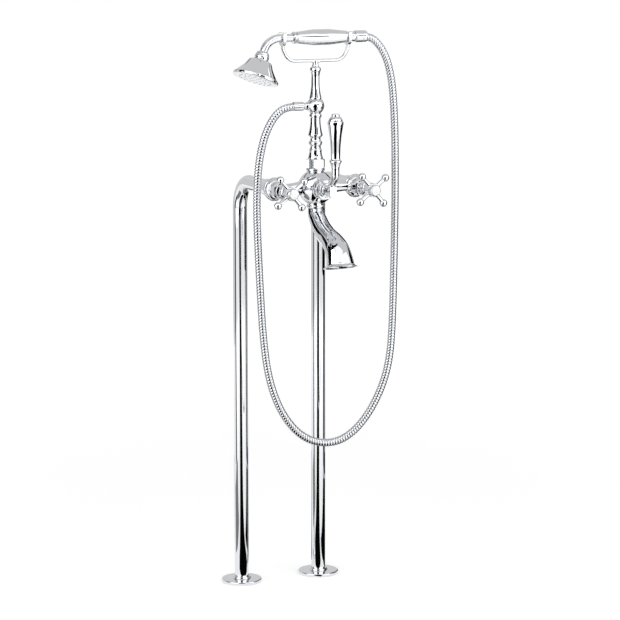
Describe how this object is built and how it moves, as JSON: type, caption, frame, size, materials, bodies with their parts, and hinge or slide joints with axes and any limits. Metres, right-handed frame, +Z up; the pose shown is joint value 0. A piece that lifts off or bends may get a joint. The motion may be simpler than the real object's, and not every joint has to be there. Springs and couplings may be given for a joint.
{
  "type": "floor standing bath filler",
  "caption": "Floor standing bath filler on two standpipes, with cross handles, bell spout, diverter lever and a hand shower in a cradle on a ribbed hose.",
  "frame": {"origin": "on the floor, midway between the axes of the two standpipes", "axes": "+X to the right seen from the bath side, +Y to the back, away from the bath, +Z up"},
  "size_m": [0.3076, 0.3398, 1.0003],
  "materials": {
    "chrome": "mirror chrome on brass",
    "brass": "machined",
    "porcelain": "glazed white porcelain",
    "ceramic": "ground alumina ceramic",
    "rubber": "black rubber",
    "fibre": "fibre washer",
    "steel": "stainless steel",
    "hose_metal": "polished spiral wound metal"
  },
  "bodies": {
    "filler": {"left_standpipe": "chrome", "right_standpipe": "chrome", "left_floor_cover": "chrome", "right_floor_cover": "chrome", "left_anchor_plate": "brass", "right_anchor_plate": "brass", "inlet_bushes": "brass", "union_nuts": "chrome", "union_washers": "fibre", "mixer_body": "chrome", "left_bonnet": "chrome", "right_bonnet": "chrome", "fixed_discs": "ceramic", "seat_seals": "rubber", "spindle_seals": "rubber", "diverter_bonnet": "chrome", "spout_collar": "chrome", "spout": "chrome", "body_washers": "fibre", "column_ring": "chrome", "column_nut": "chrome", "column": "chrome", "outlet_ball": "chrome", "upper_column": "chrome", "cradle_bar": "chrome", "left_cradle_hook": "chrome", "right_cradle_hook": "chrome", "hose_nipple": "chrome", "hose_nut": "chrome", "shower_hose": "hose_metal"},
    "left_tap": {"left_spindle": "brass", "left_moving_disc": "ceramic", "left_cross_handle": "chrome", "left_handle_cap": "chrome", "left_index_disc": "porcelain", "left_handle_screw": "steel"},
    "right_tap": {"right_spindle": "brass", "right_moving_disc": "ceramic", "right_cross_handle": "chrome", "right_handle_cap": "chrome", "right_index_disc": "porcelain", "right_handle_screw": "steel"},
    "diverter": {"diverter_rotor": "brass", "diverter_spindle": "chrome", "diverter_lever": "chrome", "lever_grip": "chrome", "lever_finial": "chrome", "lever_screw": "steel"},
    "handset": {"handset_arm": "chrome", "handset_step_ring": "chrome", "handset_grip": "chrome", "handset_tail": "chrome", "hose_cone_nut": "chrome", "hose_ferrule": "chrome", "handset_washer": "fibre", "rose_nut": "chrome", "rose_bell": "chrome", "rose_face": "chrome", "rose_seal": "rubber"}
  },
  "joints": [
    {"name": "left_tap_turn", "type": "hinge", "parent": "filler", "child": "left_tap", "pos_m": [-0.075, -0.166, 0.73], "axis": [0, -1, 0], "range_deg": [0, 90]},
    {"name": "right_tap_turn", "type": "hinge", "parent": "filler", "child": "right_tap", "pos_m": [0.075, -0.166, 0.73], "axis": [0, -1, 0], "range_deg": [-90, 0]},
    {"name": "diverter_turn", "type": "hinge", "parent": "filler", "child": "diverter", "pos_m": [0, -0.166, 0.73], "axis": [0, -1, 0], "range_deg": [-45, 45]},
    {"name": "handset_lift", "type": "slide", "parent": "filler", "child": "handset", "axis": [0, 0, 1], "range_m": [0, 0.06], "deforming": ["shower_hose"]}
  ]
}
